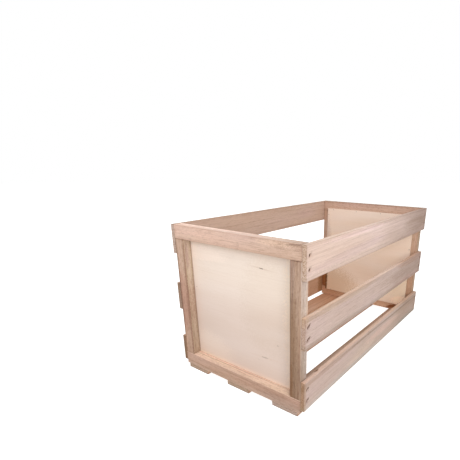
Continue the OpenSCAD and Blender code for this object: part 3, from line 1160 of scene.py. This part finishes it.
def makeNailHole():
    head, shank = nails["headRadius"], nails["shankRadius"]
    headBottom, shoulder = [-nails["sink"] - depth for depth in nails["headBottom"]]
    rings = [(z, head + wider) for z, wider in nails["holeRim"]]
    rings += [(headBottom, head), (shoulder, shank), (-nails["length"], shank)]
    return turnedPiece("nail hole", rings, nails["sides"])


def nailPlaces(end, top):
    # four nails go through each rail, two into each stile
    low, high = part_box(end + "_top_rail")
    middleX = (low.x + high.x) / 2
    z = high.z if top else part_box(end + "_bottom_rail")[0].z
    y = high.y - nails["inset"]
    turn = Matrix.Rotation(0 if top else math.radians(180), 4, "X")
    return [Matrix.Translation((middleX + step * nails["pitch"] / 2, side * y, z)) @ turn
            for side in (-1, 1) for step in (-1, 1)]


def makeBevelCutter(node):
    # a block past the rail's inner top edge, whose lower outer edge is lifted to the rail's top
    low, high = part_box(node)
    end = -1 if high.x < 0 else 1
    inner = min(abs(low.x), abs(high.x))
    depth, height, over = ledgeBevel["depth"], ledgeBevel["height"], ledgeBevel["over"]
    outerX, innerX = end * (inner + depth), end * (inner - over)
    floorZ = high.z - height * (depth + over) / depth
    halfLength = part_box(node.replace("bottom_rail", "left_stile"))[0].y
    wedge = addBlock("ledge cutter", ((outerX + innerX) / 2, 0, (floorZ + high.z + over) / 2),
                     (depth + over, 2 * halfLength, high.z + over - floorZ))

    def onLowerOuterEdge(points):
        return all(abs(p.x - outerX) < touch and abs(p.z - floorZ) < touch for p in points)

    openInEdit(wedge, "EDGE")
    pick(wedge, "edges", onLowerOuterEdge)
    bpy.ops.transform.translate(value=(0, 0, high.z - floorZ))
    bpy.ops.object.mode_set(mode="OBJECT")
    return wedge


nailHole = makeNailHole()
for node, changes in frameBoards.items():
    end, kind = node.split("_")[0], node.split("_")[2]
    low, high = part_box(node)
    base = railLook if kind == "rail" else stileLook
    board = sawBoard(node + "_board", node, base["grain"], frameCut)
    if kind == "rail":
        cutters = [placeCopy(nailHole, place) for place in nailPlaces(end, "_top_" in node)]
        if "_bottom_" in node:
            cutters.append(makeBevelCutter(node))
        cutHoles(board, cutters)
    finishBoard(board, node, solidWood(node + " wood", low, high, {**base, **changes}))
discard(nailHole)
say("end frames made")


# Plywood panels

panelCut = {
    "eased": 0.25 * mm,
    "easedEnd": 0.25 * mm,
    "step": 18 * mm,
    "crossStep": 18 * mm,
    "cupping": 0.25 * mm,
    "planing": 0.05 * mm,
}
panelLook = {
    "tilt": (0, 0.4, 0.6),
    "pith": (0.02, 0.35),
    "ringWidth": 0.006,
    "wobble": 0.030,
    "seed": 61.0,
    "pale": srgb(0.975, 0.918, 0.868),
    "warm": srgb(0.955, 0.888, 0.830),
    # painted light and shade from the top of a sheet to its foot
    "lowTint": (0.83, 0.82, 0.82),
    "middleTint": (0.90, 0.86, 0.86),
    "middleHeights": (0.270, 0.150),  # where the painted shade starts and is full
    "footTint": (1.20, 1.18, 1.12),
    "footHeights": (0.048, 0.039),  # painted bounce light from the ledge, on the outer face alone
    "line": srgb(0.80, 0.69, 0.60),
    "pore": srgb(0.66, 0.52, 0.42),
    "fleck": srgb(0.36, 0.25, 0.18),
    "corePale": srgb(0.80, 0.68, 0.56),
    "coreDark": srgb(0.60, 0.46, 0.35),
    "worn": srgb(0.95, 0.90, 0.84),
    "streaks": 0.10,
    "bodies": 0.04,
    "fibres": 0.09,
    "pores": 0.08,
    "coreHalf": 1.2 * mm,
    "edgeReach": 1.5 * mm,
    "edgeWear": 0.4,
    "smooth": 0.52,
    "rough": 0.66,
    "relief": 0.35,
    "opening": (0, 0, 0.1660),  # down past the bottom rail, so the painted seam shade has no lower line
    "halfOpening": (0, 0.140, 0.1465),
    # painted shade round the opening, where the frame meets the panel
    "seam": 0.40,
    "seamReach": 1.2 * mm,
    "seamTint": (0.45, 0.31, 0.22),
    "outerMarks": [],
    "innerMarks": [],
    "flecks": [],  # y, z, length, width, slope, how dark, how strong its trail
}
# the outer face of the front panel and the inner face of the back one, which carry patches of painted light
# and shade
frontPly, backPly = [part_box(node)[0].x for node in ("front_panel", "back_panel")]
panels = {
    "front_panel": {
        "outerMarks": [
            mark((frontPly, -0.146, 0.19), "Z", 0.036, 0.22, (1.15, 1.12, 1.06)),
            mark((frontPly, -0.08, 0.2), "Z", 0.085, 0.11, (0.95, 0.94, 0.92)),
            mark((frontPly, 0.11, 0.06), "Z", 0.08, 0.045, (1.08, 1.08, 1.06)),
            mark((frontPly, 0.11, 0.284), "Z", 0.08, 0.016, (1.07, 1.06, 1.06)),
            mark((frontPly, 0.06, 0.308), "Z", 0.11, 0.007, (0.93, 0.92, 0.89)),
            mark((frontPly, 0.11, 0.042), "Z", 0.05, 0.006, (0.93, 0.94, 0.92)),
        ],
        "flecks": [
            (-0.0575, 0.2785, 0.0060, 0.0010, 0.06, 0.75, 0.5),
            (-0.0619, 0.0889, 0.0090, 0.0016, -0.05, 0.34, 0.25),
            (-0.0955, 0.1262, 0.0024, 0.0020, 0.0, 0.20, 0.1),
            (-0.0439, 0.0792, 0.0030, 0.0010, 0.0, 0.12, 0.1),
            (0.1337, 0.2038, 0.0012, 0.0012, 0.0, 0.5, 0.0),
        ],
    },
    "back_panel": {
        "seed": 66.0, "pale": srgb(0.925, 0.845, 0.785), "warm": srgb(0.915, 0.815, 0.73),
        "lowTint": (1.12, 1.10, 1.07), "middleTint": (1, 1, 1),
        "innerMarks": [
            mark((backPly, 0.145, 0.045), "Z", 0.13, 0.085, (0.8, 0.71, 0.6)),
            mark((backPly, 0.149, 0.06), "Z", 0.009, 0.11, (0.25, 0.14, 0.06)),
            mark((backPly, 0.15, 0.18), "Z", 0.022, 0.11, (0.8, 0.77, 0.77)),
            mark((backPly, -0.122, 0.1), "Z", 0.055, 0.05, (0.88, 0.87, 0.8)),
            mark((backPly, -0.148, 0.044), "Z", 0.044, 0.02, (1.26, 1.24, 1.2)),
        ],
        "flecks": [
            (0.0420, 0.2120, 0.0050, 0.0010, 0.05, 0.5, 0.4),
            (-0.0900, 0.0950, 0.0040, 0.0009, -0.04, 0.4, 0.3),
        ],
    },
}
for node, changes in panels.items():
    low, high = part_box(node)
    board = sawBoard(node + "_sheet", node, "Y", panelCut)
    finishBoard(board, node, plyWood(node + " veneer", low, high, {**panelLook, **changes}))
say("panels made")


# Nails and pins keep their CAD shapes

nailLook = {
    "seed": 9.0,
    "bare": srgb(0.82, 0.79, 0.75),
    "oxide": srgb(0.60, 0.55, 0.50),
    "smooth": 0.25,
    "rough": 0.5,
}
nailSteel = fixingSteel("nail steel", nailLook)
for node in ("front_frame_nails", "back_frame_nails", "front_panel_pins", "back_panel_pins"):
    for i in range(len(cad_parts[node].material_slots)):
        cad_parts[node].material_slots[i].material = nailSteel


# Floor, white room and lamps

studio = {
    "floorRadius": 9.0,
    "innerRadius": 3.0,
    "floorSides": 96,
    "floorColour": (0.60, 0.60, 0.60, 1),
    "floorMottle": 1.04,
    "mottleWaves": (6.0, 6.0),
    "floorGlow": 0.80,  # share of the floor's white that a shadow doesn't darken
    "white": (1, 1, 1, 1),
    "roomLight": 0.515,
    "lamps": {  # place, aim, side of the softbox, watts
        "key": ((-1.6, -1.6, 1.05), (-0.1, 0, 0.15), 1.3, 33.6),
        "top": ((-0.6, -0.4, 2.3), (-0.1, 0, 0.15), 1.8, 24.6),
        "back": ((1.9, 1.7, 1.2), (0.1, 0, 0.15), 1.4, 13.4),
    },
}


def seenRay(tree):
    # 1 for the eye and for gloss or glass, and 0 where the surface only gives light
    ray = addNode(tree, "ShaderNodeLightPath").outputs
    indirect = calc(tree, "MAXIMUM", ray["Is Glossy Ray"], ray["Is Transmission Ray"])
    return calc(tree, "MAXIMUM", ray["Is Camera Ray"], indirect)


def makeFloor():
    startClean()
    radius = studio["innerRadius"]
    bpy.ops.mesh.primitive_circle_add(vertices=studio["floorSides"], radius=radius, fill_type="NGON")
    floor = bpy.context.object
    floor.name = "studio_floor"
    openInEdit(floor, "EDGE")
    bpy.ops.mesh.select_all(action="SELECT")
    bpy.ops.mesh.extrude_edges_move()
    grow = studio["floorRadius"] / radius
    bpy.ops.transform.resize(value=(grow, grow, 1), center_override=(0, 0, 0))
    bpy.ops.object.mode_set(mode="OBJECT")
    material = bpy.data.materials.new("floor paper")
    material.use_nodes = True
    tree = material.node_tree
    tree.nodes.clear()
    point = addNode(tree, "ShaderNodeTexCoord").outputs["Object"]
    mottle = stretchedNoise(tree, point, studio["mottleWaves"], 1.0)
    colour = studio["floorColour"]
    paper = blendColours(tree, mottle, colour, lighten(colour, studio["floorMottle"]))
    lit = addNode(tree, "ShaderNodeBsdfDiffuse", {"Color": paper}).outputs[0]
    inputs = {"Color": studio["white"], "Strength": studio["floorGlow"]}
    glow = addNode(tree, "ShaderNodeEmission", inputs).outputs[0]
    both = addNode(tree, "ShaderNodeAddShader", {0: lit, 1: glow}).outputs[0]
    surface = addNode(tree, "ShaderNodeMixShader", {0: seenRay(tree), 1: lit, 2: both}).outputs[0]
    addNode(tree, "ShaderNodeOutputMaterial", {"Surface": surface})
    floor.data.materials.append(material)


def makeRoom():
    room = bpy.data.worlds.new("white room")
    bpy.context.scene.world = room
    room.use_nodes = True
    tree = room.node_tree
    tree.nodes.clear()
    light, white = [
        addNode(tree, "ShaderNodeBackground", {"Color": studio["white"], "Strength": strength}).outputs[0]
        for strength in (studio["roomLight"], 1.0)]
    surface = addNode(tree, "ShaderNodeMixShader", {0: seenRay(tree), 1: light, 2: white}).outputs[0]
    addNode(tree, "ShaderNodeOutputWorld", {"Surface": surface})


def makeLamp(name, place, aim, side, watts):
    startClean()
    bpy.ops.object.light_add(type="AREA", location=place)
    lamp = bpy.context.object
    lamp.name = name
    lamp.data.size = side
    lamp.data.energy = watts
    lamp.rotation_euler = (Vector(aim) - Vector(place)).to_track_quat("-Z", "Y").to_euler()


makeFloor()
makeRoom()
for name, (place, aim, side, watts) in studio["lamps"].items():
    makeLamp(name, place, aim, side, watts)
say("floor, room and lamps made")


# Camera, from the crate's straight edges in the photograph

cameraSet = {
    "sensor": 36,
    "lens": 28.35,
    "shift": (-0.1413, 0.1413),
    "place": (-0.7968, -0.4906, 0.4678),
    "turn": (69.798, -0.349, -54.504),
    "clip": (0.01, 100),
}
startClean()
turn = [math.radians(angle) for angle in cameraSet["turn"]]
bpy.ops.object.camera_add(location=cameraSet["place"], rotation=turn)
camera = bpy.context.object
camera.data.sensor_width = cameraSet["sensor"]
camera.data.lens = cameraSet["lens"]
camera.data.shift_x, camera.data.shift_y = cameraSet["shift"]
camera.data.clip_start, camera.data.clip_end = cameraSet["clip"]
bpy.context.scene.camera = camera
bpy.context.scene.view_settings.view_transform = "Standard"
startClean()

bpy.context.view_layer.update()
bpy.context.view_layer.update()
say("sizes written")
